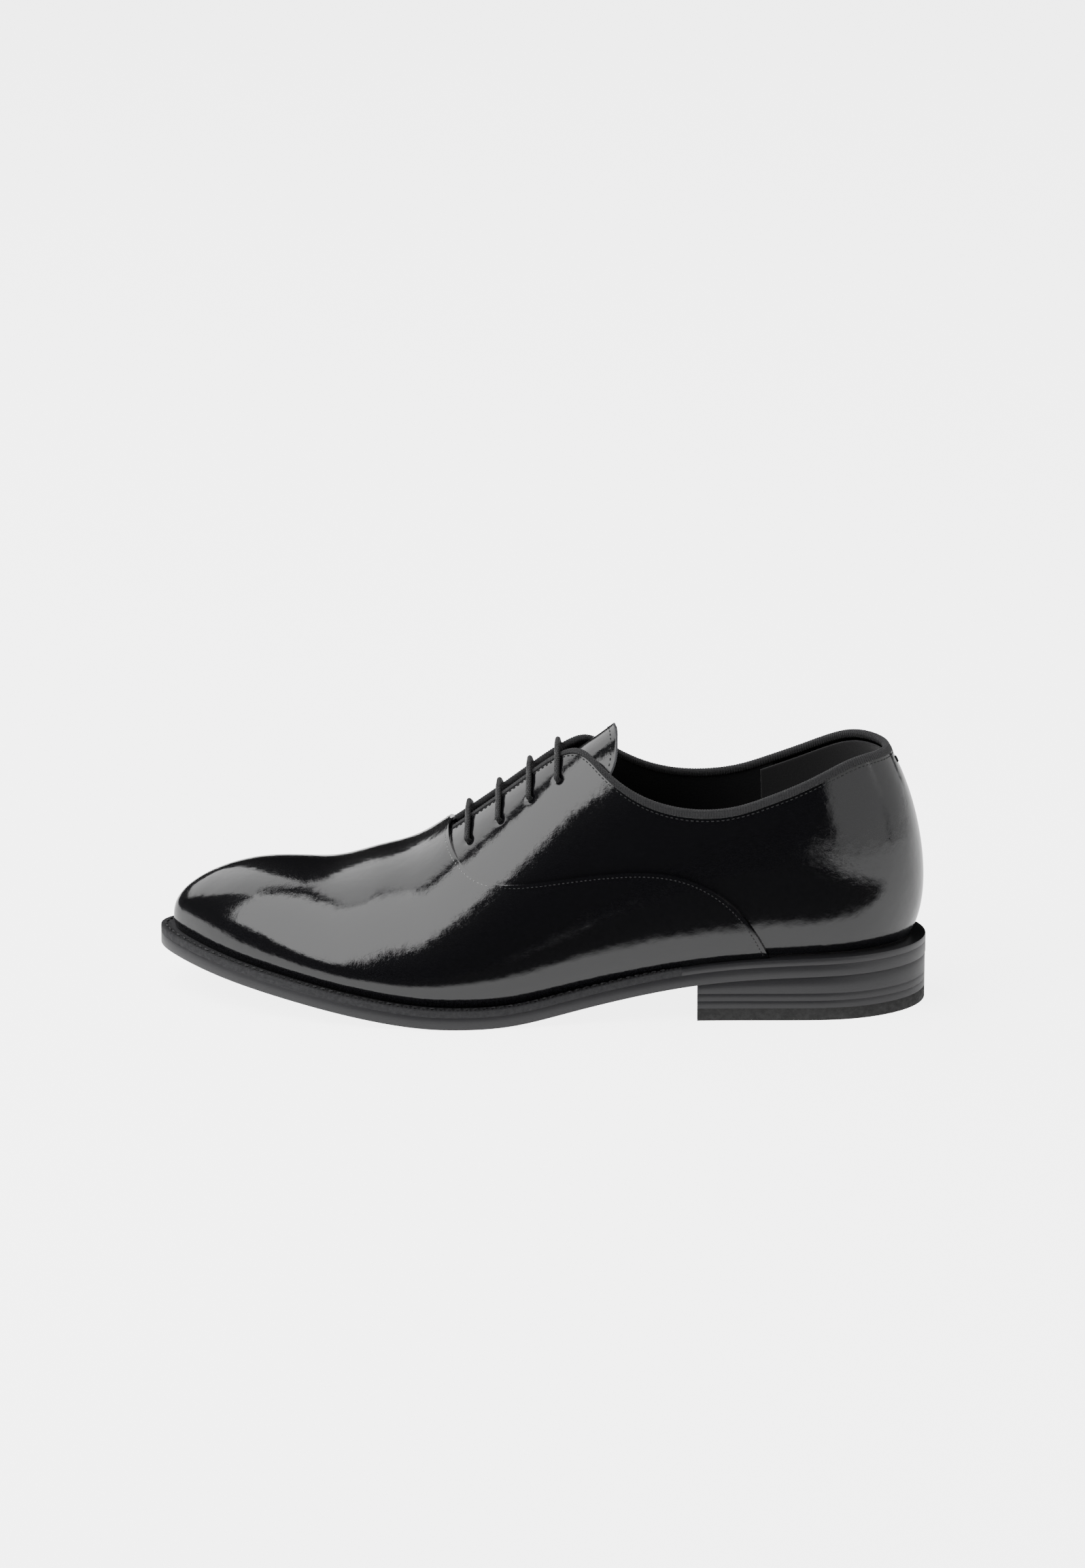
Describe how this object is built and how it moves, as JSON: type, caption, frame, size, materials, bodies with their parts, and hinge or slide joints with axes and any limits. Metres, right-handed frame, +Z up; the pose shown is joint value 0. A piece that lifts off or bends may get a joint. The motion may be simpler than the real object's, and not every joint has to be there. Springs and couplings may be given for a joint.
{
  "type": "oxford shoe",
  "caption": "Patent leather plain-toe oxford dress shoe for the left foot, with closed lacing, a bound topline, a welted sole and a stacked heel.",
  "frame": {"origin": "on the ground under the middle of the shoe's overall length and width", "axes": "+X from the toe towards the heel, -Y towards the outer (lateral) side of the foot, +Z up"},
  "size_m": [0.3025, 0.103, 0.1083],
  "materials": {
    "sole_leather": "satin",
    "welt_leather": "matte",
    "cork": "matte",
    "steel": "satin",
    "insole_leather": "matte",
    "lining_leather": "satin",
    "top_piece_rubber": "matte",
    "heel_leather": "satin",
    "brass_nails": "satin",
    "thread": "matte",
    "patent_leather": "gloss",
    "stiffener": "matte",
    "interlining_cloth": "matte",
    "suede": "matte",
    "grosgrain": "matte",
    "eyelet_metal": "satin",
    "lace_cord": "matte",
    "aglet_plastic": "gloss"
  },
  "bodies": {
    "shoe": {"outsole": "sole_leather", "welt": "welt_leather", "heel_rand": "welt_leather", "cork_filler": "cork", "shank": "steel", "insole": "insole_leather", "heel_sock": "lining_leather", "top_piece": "top_piece_rubber", "heel_lift_1": "heel_leather", "heel_lift_2": "heel_leather", "heel_lift_3": "heel_leather", "heel_nails": "brass_nails", "welt_stitching": "thread", "vamp": "patent_leather", "vamp_lining": "lining_leather", "toe_puff": "stiffener", "vamp_interlining": "interlining_cloth", "heel_counter": "stiffener", "heel_grip": "suede", "quarter_lateral": "patent_leather", "quarter_medial": "patent_leather", "quarter_lining_lateral": "lining_leather", "quarter_lining_medial": "lining_leather", "facing_stay_lateral": "interlining_cloth", "facing_stay_medial": "interlining_cloth", "topline_binding": "grosgrain", "eyelets": "eyelet_metal", "lace": "lace_cord", "lace_end_lateral": "lace_cord", "lace_end_medial": "lace_cord", "aglet_lateral": "aglet_plastic", "aglet_medial": "aglet_plastic"},
    "tongue": {"tongue": "patent_leather", "tongue_lining": "lining_leather"}
  },
  "joints": [
    {"name": "tongue_tilt", "type": "hinge", "parent": "shoe", "child": "tongue", "pos_m": [-0.05, 0.004, 0.0525], "axis": [0, 1, 0], "range_deg": [0, 15], "stiffness_Nm_per_rad": 0.15}
  ]
}
